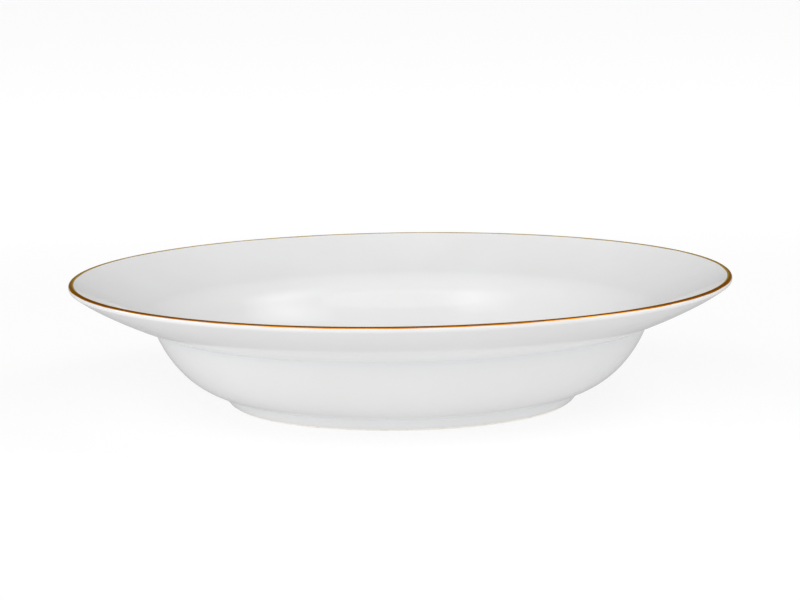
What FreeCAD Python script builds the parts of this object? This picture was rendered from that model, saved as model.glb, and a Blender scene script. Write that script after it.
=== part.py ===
# Wide-rimmed porcelain serving bowl with a gold line round its lip.
# Millimetres, +Z up, origin at the centre of the plane that the foot stands on.
#
# The bowl is a body of revolution. Half of its section is one smooth outline of the clay, which
# runs from the axis under the floor, round the foot ring, up the outside, over the lip and back
# down the inside to the axis. It is a chain of arcs and straight runs that meet without a kink,
# so the glaze and the gold, which lie on the clay, have the same outline lifted by their thickness.

import FreeCAD, Part
import math
import os
from collections import namedtuple

# Finished bowl
RIM_DIAMETER = 300.0
RIM_HEIGHT = 57.2
LIP_THICKNESS = 2.9
GLAZE = 0.25
GOLD = 0.12

# Foot ring, on the clay; every slope is in degrees above the horizontal, going outwards
FOOT_INNER_R = 72.0
FOOT_OUTER_R = 76.8
FOOT_INNER_SLOPE = -68.0
FOOT_EDGE_RADIUS = 1.0
BARE_FOOT_HEIGHT = 1.0
CREASE_R = 82.35
CREASE_Z = 6.2
CREASE_RADIUS = 1.7

# Recess under the floor, inside the foot ring, a little deeper at its middle
RECESS_DEPTH = 4.4
RECESS_DOME = 0.4
RECESS_RADIUS = 2.5

# Outer wall and flange, on the clay
WALL_LOW_SLOPE = 17.0
WALL_MIDDLE_SLOPE = 46.5
WALL_HIGH_SLOPE = 70.0
SHOULDER_R = 111.9
SHOULDER_Z = 36.3
SHOULDER_RADIUS = 1.7
FLANGE_LOW_SLOPE = 20.1
FLANGE_HIGH_SLOPE = 35.8

# Inside, on the clay; the floor is dished a little towards its middle
INNER_SHOULDER_R = 109.3
INNER_SHOULDER_Z = 39.2
INNER_SHOULDER_RADIUS = 20.0
WELL_HIGH_SLOPE = 65.0
WELL_MIDDLE_SLOPE = 45.0
FLOOR_EDGE_R = 71.5
FLOOR_EDGE_Z = 8.6
FLOOR_DISH = 0.4

# Gold line, on the glaze of the lip: the slope of the lip's outline at the line's outer edge.
# Its inner edge is where the round of the lip ends.
GOLD_OUTER_SLOPE = 120.0
GOLD_SECTORS = 8

BACK = math.pi
SAME_POINT = 1e-7

# One arc of the outline: its start, the headings in radians that it arrives and leaves on, from
# outwards towards up, and its radius, which is negative where the clay is hollow.
Turn = namedtuple("Turn", "start arrive leave radius")


def point(r, z):
    """A point of the half section."""
    return FreeCAD.Vector(r, 0, z)


def along(heading):
    """The unit step of an outline that runs on a heading."""
    return point(math.cos(heading), math.sin(heading))


def outward(heading):
    """The unit normal out of the clay, where its outline runs on a heading."""
    return point(math.sin(heading), -math.cos(heading))


def spot(turn, heading, lift=0.0):
    """The point of an arc where the outline is on a heading, lifted off the clay."""
    centre = turn.start - outward(turn.arrive) * turn.radius
    return centre + outward(heading) * (turn.radius + lift)


def passing(r, z, heading):
    """A point that the outline passes on a heading, without an arc of its own."""
    return Turn(point(r, z), heading, heading, 0.0)


def corner(r, z, arrive, leave, radius):
    """The arc that rounds off a corner between two headings."""
    half_turn = (leave - arrive) / 2
    start = point(r, z) - along(arrive) * abs(radius * math.tan(half_turn))
    return Turn(start, arrive, leave, math.copysign(radius, half_turn))


def sweep(before, middle, after):
    """The two arcs that join two turns by way of a middle heading."""
    start = spot(before, before.leave)
    gap = after.start - start
    first = outward(middle) - outward(before.leave)
    second = outward(after.arrive) - outward(middle)
    area = first.x * second.z - first.z * second.x
    first_radius = (gap.x * second.z - gap.z * second.x) / area
    second_radius = (first.x * gap.z - first.z * gap.x) / area
    entry = Turn(start, before.leave, middle, first_radius)
    return [entry, Turn(spot(entry, middle), middle, after.arrive, second_radius)]


def foot_turns():
    """The recess under the floor, the foot ring, and the crease above it."""
    inner_slope = math.radians(FOOT_INNER_SLOPE)
    outer_slope = math.atan2(CREASE_Z, CREASE_R - FOOT_OUTER_R)
    recess_r = FOOT_INNER_R + RECESS_DEPTH / math.tan(inner_slope)
    dome_slope = -2 * RECESS_DOME / recess_r
    crown = passing(0, RECESS_DEPTH + RECESS_DOME, 0)
    root = corner(recess_r, RECESS_DEPTH, dome_slope, inner_slope, RECESS_RADIUS)
    inner_edge = corner(FOOT_INNER_R, 0, inner_slope, 0, FOOT_EDGE_RADIUS)
    outer_edge = corner(FOOT_OUTER_R, 0, 0, outer_slope, FOOT_EDGE_RADIUS)
    crease = corner(CREASE_R, CREASE_Z, outer_slope, math.radians(WALL_LOW_SLOPE), CREASE_RADIUS)
    return sweep(crown, dome_slope / 2, root) + [root, inner_edge, outer_edge, crease]


def lip_turn():
    """The full round of the lip, square to the flange."""
    glazed_radius = LIP_THICKNESS / 2
    radius = glazed_radius - GLAZE
    arrive = math.radians(FLANGE_HIGH_SLOPE)
    centre = point(RIM_DIAMETER / 2 - glazed_radius, RIM_HEIGHT - glazed_radius)
    return Turn(centre + outward(arrive) * radius, arrive, arrive + BACK, radius)


def outside_turns(crease, lip):
    """The wall, the shoulder and the underside of the flange."""
    wall_slope = math.radians(WALL_HIGH_SLOPE)
    flange_slope = math.radians(FLANGE_LOW_SLOPE)
    shoulder = corner(SHOULDER_R, SHOULDER_Z, wall_slope, flange_slope, SHOULDER_RADIUS)
    wall = sweep(crease, math.radians(WALL_MIDDLE_SLOPE), shoulder)
    return wall + [shoulder] + sweep(shoulder, (flange_slope + lip.arrive) / 2, lip)


def inside_turns(lip):
    """The top of the flange, the inner shoulder, the well and its floor."""
    flange_slope = math.radians(FLANGE_LOW_SLOPE) + BACK
    well_slope = math.radians(WELL_HIGH_SLOPE) + BACK
    dish_slope = 2 * FLOOR_DISH / FLOOR_EDGE_R + BACK
    shoulder = corner(
        INNER_SHOULDER_R, INNER_SHOULDER_Z, flange_slope, well_slope, INNER_SHOULDER_RADIUS
    )
    floor_edge = passing(FLOOR_EDGE_R, FLOOR_EDGE_Z, dish_slope)
    middle = passing(0, FLOOR_EDGE_Z - FLOOR_DISH, BACK)
    flange = sweep(lip, (lip.leave + flange_slope) / 2, shoulder)
    well = sweep(shoulder, math.radians(WELL_MIDDLE_SLOPE) + BACK, floor_edge)
    return flange + [shoulder] + well + sweep(floor_edge, (dish_slope + BACK) / 2, middle)


def outline(lip):
    """The whole outline of the clay, as turns from the axis below to the axis above."""
    foot = foot_turns()
    return foot + outside_turns(foot[-1], lip) + [lip] + inside_turns(lip)


def line(start, end):
    """A straight edge."""
    return Part.LineSegment(start, end).toShape()


def arc(turn, arrive, leave, lift):
    """The edge along an arc of the outline between two of its headings, lifted off the clay."""
    ends = [spot(turn, heading, lift) for heading in (arrive, (arrive + leave) / 2, leave)]
    return Part.Arc(*ends).toShape()


def section(turns, lift):
    """The half section as a face, with every point of the outline lifted off the clay."""
    edges = []
    last = spot(turns[0], turns[0].arrive, lift)
    closing = line(spot(turns[-1], turns[-1].leave, lift), last)
    for turn in turns:
        first = spot(turn, turn.arrive, lift)
        if not last.isEqual(first, SAME_POINT):
            edges.append(line(last, first))
        edges.append(arc(turn, turn.arrive, turn.leave, lift))
        last = spot(turn, turn.leave, lift)
    return Part.Face(Part.Wire(edges + [closing]))


def gold_section(lip):
    """The section of the gold line, a strip of even thickness bent over the lip's glaze."""
    low = math.radians(GOLD_OUTER_SLOPE)
    high = lip.leave
    under = arc(lip, low, high, GLAZE)
    over = arc(lip, low, high, GLAZE + GOLD)
    low_end = line(spot(lip, low, GLAZE), spot(lip, low, GLAZE + GOLD))
    high_end = line(spot(lip, high, GLAZE + GOLD), spot(lip, high, GLAZE))
    return Part.Face(Part.Wire([low_end, over, high_end, under]))


def above(z_low):
    """The whole half plane above a height, as far as the bowl needs."""
    low = [point(0, z_low), point(RIM_DIAMETER, z_low)]
    high = [point(RIM_DIAMETER, RIM_DIAMETER), point(0, RIM_DIAMETER)]
    return Part.Face(Part.makePolygon(low + high + low[:1]))


def turned(face):
    """The solid that a half section makes in one full turn about the axis."""
    return face.revolve(point(0, 0), point(0, 1), 360)


def turned_in_sectors(face, count):
    """The same solid with its surface split into equal sectors, which keeps a very thin ring even."""
    step = 360 / count
    sectors = []
    for number in range(count):
        start = face.copy()
        start.rotate(point(0, 0), point(0, 1), number * step)
        sectors.append(start.revolve(point(0, 0), point(0, 1), step))
    return sectors[0].multiFuse(sectors[1:]).Solids[0]


def bowl():
    """Every node of the bowl, by name."""
    lip = lip_turn()
    turns = outline(lip)
    clay = section(turns, 0)
    glaze = section(turns, GLAZE).cut(clay).common(above(BARE_FOOT_HEIGHT))
    base, coat = sorted(glaze.Faces, key=lambda face: face.BoundBox.XMax)
    return {
        "porcelain_body": turned(clay),
        "glaze_coat": turned(coat),
        "base_glaze": turned(base),
        "gold_rim_band": turned_in_sectors(gold_section(lip), GOLD_SECTORS),
    }


os.makedirs("parts", exist_ok=True)
for name, solid in bowl().items():
    solid.exportStep("parts/" + name + ".step")
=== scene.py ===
import math
from collections import namedtuple

import bmesh
import bpy
import numpy as np
from mathutils import Matrix, Vector


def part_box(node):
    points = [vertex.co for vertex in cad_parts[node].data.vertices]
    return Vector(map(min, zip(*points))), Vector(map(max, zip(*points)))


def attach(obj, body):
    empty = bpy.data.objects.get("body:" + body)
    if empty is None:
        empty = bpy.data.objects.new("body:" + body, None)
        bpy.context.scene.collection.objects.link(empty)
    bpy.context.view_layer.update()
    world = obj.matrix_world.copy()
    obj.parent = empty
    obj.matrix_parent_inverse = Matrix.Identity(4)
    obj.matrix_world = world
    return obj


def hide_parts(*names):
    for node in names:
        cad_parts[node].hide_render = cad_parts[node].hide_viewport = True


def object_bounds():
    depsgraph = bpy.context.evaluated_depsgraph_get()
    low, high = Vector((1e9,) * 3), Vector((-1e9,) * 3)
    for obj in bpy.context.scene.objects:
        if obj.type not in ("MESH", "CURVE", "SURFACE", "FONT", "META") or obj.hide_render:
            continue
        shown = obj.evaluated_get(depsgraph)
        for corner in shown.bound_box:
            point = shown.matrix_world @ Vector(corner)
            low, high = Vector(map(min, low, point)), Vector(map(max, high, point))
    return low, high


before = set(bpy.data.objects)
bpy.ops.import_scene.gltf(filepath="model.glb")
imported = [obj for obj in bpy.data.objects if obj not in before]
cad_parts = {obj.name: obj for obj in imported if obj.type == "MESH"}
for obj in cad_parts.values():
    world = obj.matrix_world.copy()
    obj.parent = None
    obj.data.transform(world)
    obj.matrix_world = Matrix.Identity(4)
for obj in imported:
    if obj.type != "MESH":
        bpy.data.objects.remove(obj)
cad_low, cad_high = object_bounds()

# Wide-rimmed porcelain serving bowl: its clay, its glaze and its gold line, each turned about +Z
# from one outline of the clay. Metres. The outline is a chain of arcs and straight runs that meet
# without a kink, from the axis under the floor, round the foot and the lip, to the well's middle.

MM = 0.001

# Sizes of the finished bowl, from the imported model
RIM_R = min(cad_high.x, cad_high.y, -cad_low.x, -cad_low.y)
RIM_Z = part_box("glaze_coat")[1].z
BARE_FOOT_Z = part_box("base_glaze")[0].z

# Skins, on the clay; the gold is thinner here than in the CAD model, and nearer to the real film
GLAZE = 0.25 * MM
GOLD = 0.03 * MM
LIP_THICKNESS = 2.9 * MM

# Foot ring, recess and crease; slopes are in degrees above the horizontal, going outwards
FOOT_INNER_R = 72.0 * MM
FOOT_OUTER_R = 76.8 * MM
FOOT_INNER_SLOPE = -68.0
FOOT_EDGE_RADIUS = 1.0 * MM
CREASE_R = 82.35 * MM
CREASE_Z = 6.2 * MM
CREASE_RADIUS = 1.7 * MM
RECESS_DEPTH = 4.4 * MM
RECESS_DOME = 0.4 * MM
RECESS_RADIUS = 2.5 * MM

# Outer wall and flange
WALL_LOW_SLOPE = 17.0
WALL_MIDDLE_SLOPE = 46.5
WALL_HIGH_SLOPE = 70.0
SHOULDER_R = 111.9 * MM
SHOULDER_Z = 36.3 * MM
SHOULDER_RADIUS = 1.7 * MM
FLANGE_LOW_SLOPE = 20.1
FLANGE_HIGH_SLOPE = 35.8

# Inside
INNER_SHOULDER_R = 109.3 * MM
INNER_SHOULDER_Z = 39.2 * MM
INNER_SHOULDER_RADIUS = 20.0 * MM
WELL_HIGH_SLOPE = 65.0
WELL_MIDDLE_SLOPE = 45.0
FLOOR_EDGE_R = 71.5 * MM
FLOOR_EDGE_Z = 8.6 * MM
FLOOR_DISH = 0.4 * MM

# Gold line, on the glaze of the lip: the slope of the lip's outline at the line's outer edge.
# Its inner edge is where the round of the lip ends.
GOLD_OUTER_SLOPE = 120.0

# Glaze: the rolled edge where it stops on the foot ring, how far that edge strays from level,
# and how it pools in the two hollow corners of the outside. The foot of each sheet is keyed a
# little way into the clay.
GLAZE_ROLL = 0.7 * MM
ROLL_SWELL = 0.25
ROLL_RINGS = 6
GLAZE_STRAY = 0.12 * MM
GLAZE_WAVES = (2, 3, 5, 9, 14)
COAT_SEED = 11
BASE_SEED = 12
STRAY_REACH = 3.0 * MM
POOL = 0.5
POOL_WIDTH = 2.2 * MM
KEY = 0.03 * MM

# Gold: how far its brushed edges stray, and how fast it thins towards them
GOLD_STRAY = 0.07 * MM
GOLD_WAVES = (2, 5, 11, 23, 38)
GOLD_SEEDS = (13, 14)
GOLD_RINGS = 24
GOLD_THIN_EDGE = 0.15

# Colours, linear
WHITE = (1, 1, 1, 1)
GLAZE_WARM = (0.755, 0.753, 0.751, 1)
GLAZE_COOL = (0.776, 0.778, 0.781, 1)
GLAZE_DEEP = (0.749, 0.761, 0.771, 1)
BISQUE_DARK = (0.80, 0.77, 0.71, 1)
BISQUE_LIGHT = (0.90, 0.88, 0.84, 1)
BISQUE_WORN = (0.52, 0.49, 0.45, 1)
GOLD_DEEP = (0.68, 0.25, 0.02, 1)
GOLD_BRIGHT = (0.86, 0.34, 0.035, 1)
GOLD_EDGE_TINT = (0.62, 0.42, 0.09, 1)

# The gold is darker over the lip's crown: painted shade, in place of the dark surroundings that it
# mirrors there. Towards its inner edge it is pale: partly thin gold over the white glaze, partly a
# painted reflection of bright surroundings. Each change of tone runs between two distances in
# from the rim.
GOLD_PAINTED_CROWN_SHADE = (0.34, 0.12, 0.01, 1)
GOLD_PAINTED_CROWN_SHADE_FROM, GOLD_PAINTED_CROWN_SHADE_TO = 0.3 * MM, 0.7 * MM
GOLD_PALE_THIN_AND_PAINTED_GLEAM = (0.95, 0.76, 0.38, 1)
GOLD_PALE_THIN_AND_PAINTED_GLEAM_FROM, GOLD_PALE_THIN_AND_PAINTED_GLEAM_TO = 1.3 * MM, 1.9 * MM

# Textures, in features per metre, or for ring_space; the range of each roughness, and the depth of
# each bump
GLAZE_CLOUDS = 22.0
GLAZE_PATCHES = 60.0
GLAZE_PEEL = 330.0
GLAZE_THROWING = (1.5, 260.0)
GLAZE_ROUGHNESS = (0.045, 0.085)
GLAZE_THROWING_DEPTH = 0.006 * MM
GLAZE_PEEL_DEPTH = 0.004 * MM
BISQUE_GRAIN = 2600.0
BISQUE_SCUFFS = (30.0, 900.0)
BISQUE_SCUFF_RANGE = (0.52, 0.72)
BISQUE_SCUFF_SHARE = 0.35
BISQUE_ROUGHNESS = (0.62, 0.86)
BISQUE_DEPTH = 0.03 * MM
GOLD_PATCHES = 45.0
GOLD_STROKES = (9.0, 2600.0)
GOLD_ROUGHNESS = (0.17, 0.3)
GOLD_DEPTH = 0.008 * MM

# Mesh fineness
SEGMENTS = 256
RING_BEND = math.radians(5.5)
RING_RUN = 2.2 * MM
RING_GAP = 0.5 * MM
TRACK_BEND = math.radians(1.0)
TRACK_RUN = 0.2 * MM

BACK = math.pi
TURN = 2 * math.pi
SAME_POINT = 1e-7
SAME_HEADING = 1e-6


# ---------------------------------------------------------------- outline

# One arc of the outline: its start, the headings in radians that it arrives and leaves on, from
# outwards towards up, and its radius, which is negative where the clay is hollow
Turn = namedtuple("Turn", "start arrive leave radius")


def point(r, z):
    return np.array([r, z], float)


def along(heading):
    """The unit step of an outline that runs on a heading."""
    return point(math.cos(heading), math.sin(heading))


def outward(heading):
    """The unit normal out of the clay, where its outline runs on a heading."""
    return point(math.sin(heading), -math.cos(heading))


def spot(turn, heading):
    """The point of an arc where the outline is on a heading."""
    return turn.start + turn.radius * (outward(heading) - outward(turn.arrive))


def passing(r, z, heading):
    """A point that the outline passes on a heading, without an arc of its own."""
    return Turn(point(r, z), heading, heading, 0.0)


def corner(r, z, arrive, leave, radius):
    """The arc that rounds off a corner between two headings."""
    half_turn = (leave - arrive) / 2
    start = point(r, z) - along(arrive) * abs(radius * math.tan(half_turn))
    return Turn(start, arrive, leave, math.copysign(radius, half_turn))


def sweep(before, middle, after):
    """The two arcs that join two turns by way of a middle heading."""
    start = spot(before, before.leave)
    first = outward(middle) - outward(before.leave)
    second = outward(after.arrive) - outward(middle)
    radii = np.linalg.solve(np.column_stack([first, second]), after.start - start)
    entry = Turn(start, before.leave, middle, radii[0])
    return [entry, Turn(spot(entry, middle), middle, after.arrive, radii[1])]


def foot_turns():
    """The recess under the floor, the foot ring, and the crease above it."""
    inner_slope = math.radians(FOOT_INNER_SLOPE)
    outer_slope = math.atan2(CREASE_Z, CREASE_R - FOOT_OUTER_R)
    recess_r = FOOT_INNER_R + RECESS_DEPTH / math.tan(inner_slope)
    dome_slope = -2 * RECESS_DOME / recess_r
    crown = passing(0, RECESS_DEPTH + RECESS_DOME, 0)
    root = corner(recess_r, RECESS_DEPTH, dome_slope, inner_slope, RECESS_RADIUS)
    inner_edge = corner(FOOT_INNER_R, 0, inner_slope, 0, FOOT_EDGE_RADIUS)
    outer_edge = corner(FOOT_OUTER_R, 0, 0, outer_slope, FOOT_EDGE_RADIUS)
    crease = corner(CREASE_R, CREASE_Z, outer_slope, math.radians(WALL_LOW_SLOPE), CREASE_RADIUS)
    return sweep(crown, dome_slope / 2, root) + [root, inner_edge, outer_edge, crease]


def lip_turn():
    """The full round of the lip, square to the flange."""
    glazed_radius = LIP_THICKNESS / 2
    radius = glazed_radius - GLAZE
    arrive = math.radians(FLANGE_HIGH_SLOPE)
    centre = point(RIM_R - glazed_radius, RIM_Z - glazed_radius)
    return Turn(centre + outward(arrive) * radius, arrive, arrive + BACK, radius)


def outside_turns(crease, lip):
    """The wall, the shoulder and the underside of the flange."""
    wall_slope = math.radians(WALL_HIGH_SLOPE)
    flange_slope = math.radians(FLANGE_LOW_SLOPE)
    shoulder = corner(SHOULDER_R, SHOULDER_Z, wall_slope, flange_slope, SHOULDER_RADIUS)
    wall = sweep(crease, math.radians(WALL_MIDDLE_SLOPE), shoulder)
    return wall + [shoulder] + sweep(shoulder, (flange_slope + lip.arrive) / 2, lip)


def inside_turns(lip):
    """The top of the flange, the inner shoulder, the well and its floor."""
    flange_slope = math.radians(FLANGE_LOW_SLOPE) + BACK
    well_slope = math.radians(WELL_HIGH_SLOPE) + BACK
    dish_slope = 2 * FLOOR_DISH / FLOOR_EDGE_R + BACK
    shoulder = corner(
        INNER_SHOULDER_R, INNER_SHOULDER_Z, flange_slope, well_slope, INNER_SHOULDER_RADIUS
    )
    floor_edge = passing(FLOOR_EDGE_R, FLOOR_EDGE_Z, dish_slope)
    middle = passing(0, FLOOR_EDGE_Z - FLOOR_DISH, BACK)
    flange = sweep(lip, (lip.leave + flange_slope) / 2, shoulder)
    well = sweep(shoulder, math.radians(WELL_MIDDLE_SLOPE) + BACK, floor_edge)
    return flange + [shoulder] + well + sweep(floor_edge, (dish_slope + BACK) / 2, middle)


def bowl_turns():
    """The whole outline of the clay, from the axis below to the axis above."""
    foot = foot_turns()
    lip = lip_turn()
    return foot + outside_turns(foot[-1], lip) + [lip] + inside_turns(lip)


def trace(turns, bend_step, run_step):
    """Rows of distance, r, z and heading along the outline, no further apart than either step."""
    rows = [(0.0, *turns[0].start, turns[0].arrive)]
    for turn in turns:
        distance = rows[-1][0]
        last = np.array(rows[-1][1:3])
        gap = turn.start - last
        run = np.linalg.norm(gap)
        if run > SAME_POINT:
            for share in np.linspace(0, 1, math.ceil(run / run_step) + 1)[1:]:
                rows.append((distance + run * share, *(last + gap * share), turn.arrive))
            distance += run
        bend = turn.leave - turn.arrive
        length = abs(bend * turn.radius)
        if length > SAME_POINT:
            count = math.ceil(max(abs(bend) / bend_step, length / run_step))
            for share in np.linspace(0, 1, count + 1)[1:]:
                heading = turn.arrive + bend * share
                rows.append((distance + length * share, *spot(turn, heading), heading))
    return np.array(rows)


# The outline traced finely, to measure along, and the distances at which the meshes have rings
TURNS = bowl_turns()
TRACK = trace(TURNS, TRACK_BEND, TRACK_RUN)
STATIONS = trace(TURNS, RING_BEND, RING_RUN)[:, 0]
OUTLINE_END = TRACK[-1, 0]
FOOT_ROW = int(np.argmin(TRACK[:, 2]))
RIM_ROW = int(np.argmax(TRACK[:, 1]))
LIP_END_ROW = RIM_ROW + int(np.argmax(TRACK[RIM_ROW:, 3] > lip_turn().leave - SAME_HEADING))


def on_track(distance, lift):
    """r and z at a distance along the outline, lifted off the clay."""
    r, z, heading = (np.interp(distance, TRACK[:, 0], TRACK[:, column]) for column in (1, 2, 3))
    return np.maximum(r + lift * np.sin(heading), 0), z - lift * np.cos(heading)


def distance_where(first_row, last_row, column, value):
    """The distance along the outline where r, z or the heading passes a value between two rows."""
    rows = TRACK[first_row:last_row]
    order = np.argsort(rows[:, column])
    return float(np.interp(value, rows[order, column], rows[order, 0]))


# ---------------------------------------------------------------- skins on the clay

ANGLES = np.arange(SEGMENTS) * TURN / SEGMENTS
FOOT_CREASE = distance_where(FOOT_ROW, RIM_ROW, 1, CREASE_R)
SHOULDER_CREASE = distance_where(FOOT_ROW, RIM_ROW, 1, SHOULDER_R)


def ripple(seed, orders, height):
    """An uneven line round the bowl: how far it strays, one value per segment."""
    random = np.random.default_rng(seed)
    waves = [np.cos(order * ANGLES + random.uniform(0, TURN)) for order in orders]
    return height * np.sum(waves, axis=0) / math.sqrt(len(orders))


def pooling(distance):
    """How far the glaze ran together in the two hollow corners of the outside, up to 1."""
    hollows = (FOOT_CREASE, SHOULDER_CREASE)
    return sum(np.exp(-(((distance - hollow) / POOL_WIDTH) ** 2)) for hollow in hollows)


def glaze_lift(distance, from_edge):
    """The height of the glaze's face over the clay, with a rolled edge where it stops."""
    share = np.clip(from_edge / GLAZE_ROLL, 0, 1)
    edge = np.sqrt(1 - (1 - share) ** 2)
    swell = ROLL_SWELL * share * np.exp(-((from_edge / GLAZE_ROLL - 1) ** 2))
    return GLAZE * (edge + swell + POOL * pooling(distance))


def glaze_rows(edge, far):
    """Distances of a glaze sheet's rings, from close together at its edge to the axis."""
    way = math.copysign(1, far - edge)
    roll = edge + way * GLAZE_ROLL * (1 - np.cos(np.linspace(0, math.pi / 2, ROLL_RINGS)))
    rest = STATIONS[(STATIONS - roll[-1]) * way > RING_GAP]
    return np.concatenate([roll, rest if way > 0 else rest[::-1]])


def glaze_sheet(edge, far, stray):
    """A glaze shell's section: from the axis, under the glaze to its edge, and back over it."""
    rows = glaze_rows(edge, far)[:, None]
    level = np.clip(1 - abs(rows - edge) / STRAY_REACH, 0, 1) ** 2
    distance = rows + stray * level
    over = np.broadcast_to(glaze_lift(rows, abs(rows - edge)), distance.shape)
    under = np.full_like(over, -KEY)
    return np.concatenate([distance[::-1], distance]), np.concatenate([under[::-1], over])


def gold_ring(start, end):
    """The gold line's section, over its face and back under it, with uneven edges."""
    share = (1 - np.cos(np.linspace(0, math.pi, GOLD_RINGS)))[:, None] / 2
    distance = start + (end - start) * share
    thinning = np.clip(np.minimum(share, 1 - share) / GOLD_THIN_EDGE, 0, 1)
    over = np.broadcast_to(GLAZE + GOLD * np.sqrt(thinning), distance.shape)
    under = np.full_like(over, GLAZE - KEY)
    return np.concatenate([distance, distance[::-1]]), np.concatenate([over, under[::-1]])


# ---------------------------------------------------------------- meshes


def turned(name, distance, lift):
    """A smooth closed piece turned about +Z, from rings given along and off the outline."""
    distance, lift = np.broadcast_arrays(distance, lift, np.empty((len(distance), SEGMENTS)))[:2]
    r, z = on_track(distance, lift)
    corners = np.stack([r * np.cos(ANGLES), r * np.sin(ANGLES), z], axis=-1).reshape(-1, 3)
    ring, segment = np.meshgrid(np.arange(len(r)), np.arange(SEGMENTS), indexing="ij")
    # A section that starts and ends on the axis needs no faces from its last ring to its first
    if r[0].max() < SAME_POINT:
        ring, segment = ring[:-1], segment[:-1]
    after, beside = (ring + 1) % len(r), (segment + 1) % SEGMENTS
    quads = np.stack(
        [
            ring * SEGMENTS + segment,
            ring * SEGMENTS + beside,
            after * SEGMENTS + beside,
            after * SEGMENTS + segment,
        ],
        axis=-1,
    ).reshape(-1, 4)
    mesh = bpy.data.meshes.new(name)
    mesh.from_pydata(corners.tolist(), [], quads.tolist())
    pooled = mesh.attributes.new("pool", "FLOAT", "POINT")
    pooled.data.foreach_set("value", pooling(distance).astype(np.float32).ravel())
    shaped = bmesh.new()
    shaped.from_mesh(mesh)
    bmesh.ops.remove_doubles(shaped, verts=shaped.verts, dist=SAME_POINT)
    shaped.to_mesh(mesh)
    shaped.free()
    mesh.shade_smooth()
    piece = bpy.data.objects.new(name, mesh)
    bpy.context.scene.collection.objects.link(piece)
    return piece


def dress(piece, node, material):
    """Gives a visible piece its material, hangs it under the root body, and hides the CAD node
    that it stands for.
    """
    piece.data.materials.append(material)
    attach(piece, "root")
    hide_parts(node)


# ---------------------------------------------------------------- materials


def feed(tree, socket, value):
    """Links a socket to the input, or sets the input to a constant."""
    if isinstance(value, bpy.types.NodeSocket):
        tree.links.new(value, socket)
    else:
        socket.default_value = value


def add(tree, kind, inputs, output=0, **settings):
    """A node, with its inputs set or linked, as the socket that it gives out."""
    node = tree.nodes.new(kind)
    for name, value in settings.items():
        setattr(node, name, value)
    for key, value in inputs.items():
        feed(tree, node.inputs[key], value)
    return node.outputs[output]


def start_material(name, **constants):
    """A material, its tree, its shader with constants set, and the object's coordinates."""
    material = bpy.data.materials.new(name)
    material.use_nodes = True
    shader = material.node_tree.nodes["Principled BSDF"]
    for key, value in constants.items():
        shader.inputs[key.replace("_", " ")].default_value = value
    where = add(material.node_tree, "ShaderNodeTexCoord", {}, "Object")
    return material, material.node_tree, shader, where


def noise(tree, where, scale, detail=2.0, roughness=0.5):
    inputs = {"Vector": where, "Scale": scale, "Detail": detail, "Roughness": roughness}
    return add(tree, "ShaderNodeTexNoise", inputs)


def spread(tree, value, low, high, from_low=0.3, from_high=0.7):
    """A value's range, by default the middle range of a noise, spread over a new range."""
    inputs = {0: value, 1: from_low, 2: from_high, 3: low, 4: high}
    return add(tree, "ShaderNodeMapRange", inputs)


def math_node(tree, operation, first, second=0.0):
    return add(tree, "ShaderNodeMath", {0: first, 1: second}, operation=operation)


def mixed(tree, share, first, second):
    """A colour between two others."""
    inputs = {0: share, 6: first, 7: second}
    return add(tree, "ShaderNodeMix", inputs, 2, data_type="RGBA")


def bump(tree, height, depth, under=None):
    inputs = {"Height": height, "Strength": 1.0, "Distance": depth}
    if under is not None:
        inputs["Normal"] = under
    return add(tree, "ShaderNodeBump", inputs)


def flat_and_radius(tree, where):
    """The coordinates without their height, and their distance from the bowl's axis."""
    split = tree.nodes.new("ShaderNodeSeparateXYZ")
    feed(tree, split.inputs[0], where)
    flat = add(tree, "ShaderNodeCombineXYZ", {0: split.outputs[0], 1: split.outputs[1]})
    return flat, add(tree, "ShaderNodeVectorMath", {0: flat}, 1, operation="LENGTH")


def ring_space(tree, where, around, across):
    """Coordinates wound round the bowl: features per radian of turn, and per metre of radius."""
    flat, radius = flat_and_radius(tree, where)
    facing = add(tree, "ShaderNodeVectorMath", {0: flat}, operation="NORMALIZE")
    wound = add(tree, "ShaderNodeVectorMath", {0: facing, "Scale": around}, operation="SCALE")
    lifted = add(tree, "ShaderNodeCombineXYZ", {2: math_node(tree, "MULTIPLY", radius, across)})
    return add(tree, "ShaderNodeVectorMath", {0: wound, 1: lifted}, operation="ADD")


def glaze_material():
    material, tree, shader, where = start_material("porcelain_glaze", IOR=1.5)
    clouds = noise(tree, where, GLAZE_CLOUDS, detail=3.0)
    thin = mixed(tree, spread(tree, clouds, 0.0, 1.0), GLAZE_WARM, GLAZE_COOL)
    depth = add(tree, "ShaderNodeAttribute", {}, "Fac", attribute_name="pool")
    feed(tree, shader.inputs["Base Color"], mixed(tree, depth, thin, GLAZE_DEEP))
    patches = noise(tree, where, GLAZE_PATCHES)
    feed(tree, shader.inputs["Roughness"], spread(tree, patches, *GLAZE_ROUGHNESS))
    throwing = noise(tree, ring_space(tree, where, *GLAZE_THROWING), 1.0, detail=1.0)
    settled = bump(tree, throwing, GLAZE_THROWING_DEPTH)
    peel = noise(tree, where, GLAZE_PEEL, detail=1.0)
    feed(tree, shader.inputs["Normal"], bump(tree, peel, GLAZE_PEEL_DEPTH, settled))
    return material


def bisque_material():
    material, tree, shader, where = start_material("bisque_clay", IOR=1.45)
    grain = noise(tree, where, BISQUE_GRAIN, detail=4.0, roughness=0.65)
    body = mixed(tree, spread(tree, grain, 0.0, 1.0), BISQUE_DARK, BISQUE_LIGHT)
    scuffs = noise(tree, ring_space(tree, where, *BISQUE_SCUFFS), 1.0, detail=3.0)
    worn = spread(tree, scuffs, 0.0, BISQUE_SCUFF_SHARE, *BISQUE_SCUFF_RANGE)
    feed(tree, shader.inputs["Base Color"], mixed(tree, worn, body, BISQUE_WORN))
    feed(tree, shader.inputs["Roughness"], spread(tree, grain, *BISQUE_ROUGHNESS))
    feed(tree, shader.inputs["Normal"], bump(tree, grain, BISQUE_DEPTH))
    return material


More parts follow.
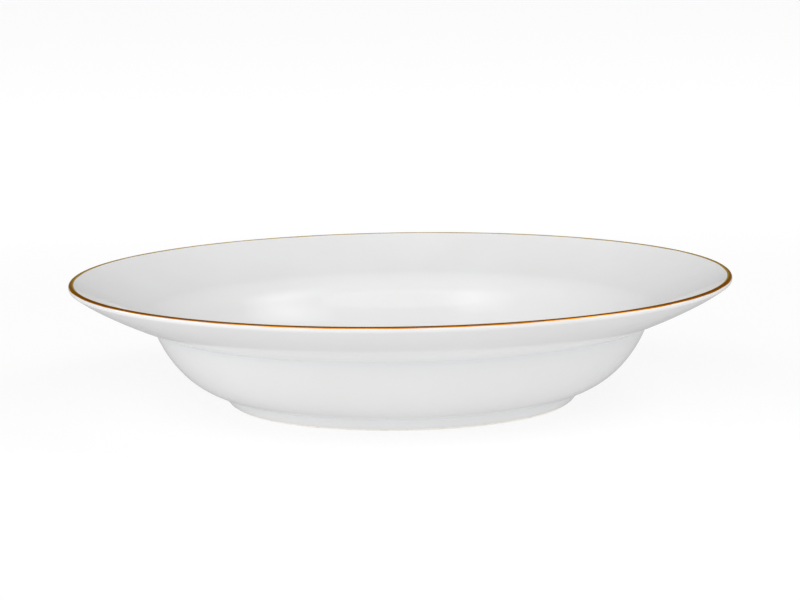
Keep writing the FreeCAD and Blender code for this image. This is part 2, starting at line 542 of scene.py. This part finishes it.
def gold_material():
    material, tree, shader, where = start_material(
        "burnished_gold", Metallic=1.0, Specular_Tint=GOLD_EDGE_TINT
    )
    wound = ring_space(tree, where, *GOLD_STROKES)
    strokes = noise(tree, wound, 1.0, detail=3.0, roughness=0.6)
    patches = noise(tree, where, GOLD_PATCHES)
    tone = mixed(tree, spread(tree, patches, 0.0, 1.0), GOLD_DEEP, GOLD_BRIGHT)
    inset = math_node(tree, "SUBTRACT", RIM_R, flat_and_radius(tree, where)[1])
    # Painted shade: the gold is darkened over the lip's crown, in place of the dark surroundings
    # it mirrors
    crown = spread(tree, inset, 0.0, 1.0, GOLD_PAINTED_CROWN_SHADE_FROM, GOLD_PAINTED_CROWN_SHADE_TO)
    # Paler towards the inner edge: partly thin gold over the glaze, partly a painted reflection of
    # bright surroundings
    inner = spread(tree, inset, 0.0, 1.0, GOLD_PALE_THIN_AND_PAINTED_GLEAM_FROM, GOLD_PALE_THIN_AND_PAINTED_GLEAM_TO)
    tone = mixed(tree, inner, mixed(tree, crown, tone, GOLD_PAINTED_CROWN_SHADE), GOLD_PALE_THIN_AND_PAINTED_GLEAM)
    feed(tree, shader.inputs["Base Color"], tone)
    feed(tree, shader.inputs["Roughness"], spread(tree, strokes, *GOLD_ROUGHNESS))
    feed(tree, shader.inputs["Normal"], bump(tree, strokes, GOLD_DEPTH))
    return material


# ---------------------------------------------------------------- the bowl

outer_line = distance_where(FOOT_ROW, RIM_ROW, 2, BARE_FOOT_Z)
inner_line = distance_where(0, FOOT_ROW + 1, 2, BARE_FOOT_Z)
gold_start = distance_where(RIM_ROW, LIP_END_ROW + 1, 3, math.radians(GOLD_OUTER_SLOPE))
gold_end = TRACK[LIP_END_ROW, 0]

clay = turned("clay_body", STATIONS[:, None], np.zeros((len(STATIONS), 1)))
dress(clay, "porcelain_body", bisque_material())

glaze = glaze_material()
stray = ripple(COAT_SEED, GLAZE_WAVES, GLAZE_STRAY)
coat = turned("glaze_coat_face", *glaze_sheet(outer_line, OUTLINE_END, stray))
dress(coat, "glaze_coat", glaze)

stray = ripple(BASE_SEED, GLAZE_WAVES, GLAZE_STRAY)
base = turned("base_glaze_face", *glaze_sheet(inner_line, 0.0, stray))
dress(base, "base_glaze", glaze)

strays = [ripple(seed, GOLD_WAVES, GOLD_STRAY) for seed in GOLD_SEEDS]
line = turned("gold_line", *gold_ring(gold_start + strays[0], gold_end + strays[1]))
dress(line, "gold_rim_band", gold_material())


# ---------------------------------------------------------------- floor, light and camera

# The floor gives off some light of its own, so it stays pale all the way back
FLOOR_SIZE = 14.0
FLOOR_TOP = -0.01 * MM
FLOOR_GREY = (0.28, 0.28, 0.28, 1)
FLOOR_ROUGHNESS = 0.9
FLOOR_SPECULAR = 0.1
FLOOR_GLOW = 0.72

# Azimuth is from straight in front of the bowl round to its right; both angles are in degrees
Softbox = namedtuple("Softbox", "name azimuth elevation distance width height watts")

SOFTBOXES = (
    Softbox("overhead", 0, 72, 2.2, 2.4, 1.4, 2.2),
    Softbox("front", 0, 33, 2.8, 4.0, 2.8, 37.5),
    Softbox("front_left", -45, 16, 2.3, 1.4, 0.9, 4.0),
    Softbox("left", -85, 15, 2.2, 2.2, 0.9, 9.5),
    Softbox("high_left", -80, 35, 2.3, 2.2, 2.2, 3.8),
    Softbox("right", 85, 15, 2.2, 2.2, 0.9, 7.4),
)

# The two key lights fade towards their edges: each is a stack of discs, one in front of another
KEYS = (
    Softbox("left_key", -53, 45, 1.70, 1.0, 1.0, 0.9),
    Softbox("right_key", 79, 45, 1.70, 1.25, 1.25, 2.53),
)
KEY_DISCS = 4
KEY_DISC_GAP = 0.01

# A gridded light over the floor behind the bowl
WASH_PLACE = (0, 2.5, 1.0)
WASH_SIZE = (2.4, 3.8)
WASH_SPREAD = math.radians(40)
WASH_WATTS = 9.0

ROOM_LIGHT = 0.467


def add_floor():
    half = FLOOR_SIZE / 2
    corners = ((-half, -half), (half, -half), (half, half), (-half, half))
    mesh = bpy.data.meshes.new("floor")
    mesh.from_pydata([(x, y, FLOOR_TOP) for x, y in corners], [], [(0, 1, 2, 3)])
    floor = bpy.data.objects.new("floor", mesh)
    bpy.context.scene.collection.objects.link(floor)
    material = bpy.data.materials.new("pale_floor")
    material.use_nodes = True
    shader = material.node_tree.nodes["Principled BSDF"]
    shader.inputs["Base Color"].default_value = FLOOR_GREY
    shader.inputs["Roughness"].default_value = FLOOR_ROUGHNESS
    shader.inputs["Specular IOR Level"].default_value = FLOOR_SPECULAR
    shader.inputs["Emission Color"].default_value = WHITE
    shader.inputs["Emission Strength"].default_value = FLOOR_GLOW
    mesh.materials.append(material)
    # The glaze takes the floor's light but shows no mirror image of it
    floor.visible_glossy = False


def add_lamp(name, place, turn, width, height, watts, shape="RECTANGLE"):
    light = bpy.data.lights.new(name, "AREA")
    light.shape = shape
    light.size, light.size_y = width, height
    light.energy = watts
    lamp = bpy.data.objects.new(name, light)
    lamp.location = place
    lamp.rotation_euler = turn
    bpy.context.scene.collection.objects.link(lamp)
    return light


def facing_bowl(azimuth, elevation, distance):
    """Where a light stands, and how it is turned to face the bowl."""
    azimuth, elevation = math.radians(azimuth), math.radians(elevation)
    level = math.cos(elevation)
    rise = math.sin(elevation)
    way = Vector((level * math.sin(azimuth), -level * math.cos(azimuth), rise))
    return way * distance + Vector((0, 0, RIM_Z / 2)), way.to_track_quat("Z", "Y").to_euler()


def add_key(key):
    for disc in range(KEY_DISCS):
        share = 1 - disc / KEY_DISCS
        place, turn = facing_bowl(key.azimuth, key.elevation, key.distance - disc * KEY_DISC_GAP)
        size = key.width * share
        watts = key.watts * share**2
        add_lamp(f"{key.name}_{disc + 1}", place, turn, size, size, watts, "ELLIPSE")


def light_room():
    world = bpy.data.worlds.new("room")
    world.use_nodes = True
    background = world.node_tree.nodes["Background"]
    background.inputs["Color"].default_value = WHITE
    background.inputs["Strength"].default_value = ROOM_LIGHT
    bpy.context.scene.world = world
    bpy.context.scene.view_settings.view_transform = "Standard"


# The photograph's view: the point in the middle of the picture, and where the camera looks from
CAMERA_TARGET = Vector((-0.00024, 0, 0.0456))
CAMERA_DISTANCE = 1.428
CAMERA_ELEVATION = math.radians(8.64)
CAMERA_ROLL = math.radians(-0.884)
CAMERA_LENS = 141.4
CAMERA_REACH = 50


def add_camera():
    camera = bpy.data.objects.new("camera", bpy.data.cameras.new("camera"))
    camera.data.lens = CAMERA_LENS
    camera.data.clip_end = CAMERA_REACH
    target = Matrix.Translation(CAMERA_TARGET)
    tilt = Matrix.Rotation(math.pi / 2 - CAMERA_ELEVATION, 4, "X")
    away = Matrix.Translation((0, 0, CAMERA_DISTANCE))
    roll = Matrix.Rotation(CAMERA_ROLL, 4, "Z")
    camera.matrix_world = target @ tilt @ away @ roll
    bpy.context.scene.collection.objects.link(camera)
    bpy.context.scene.camera = camera


add_floor()
for box in SOFTBOXES:
    place, turn = facing_bowl(box.azimuth, box.elevation, box.distance)
    add_lamp(box.name, place, turn, box.width, box.height, box.watts)
for key in KEYS:
    add_key(key)
wash = add_lamp("floor_wash", WASH_PLACE, (0, 0, 0), *WASH_SIZE, WASH_WATTS)
wash.spread = WASH_SPREAD
light_room()
add_camera()
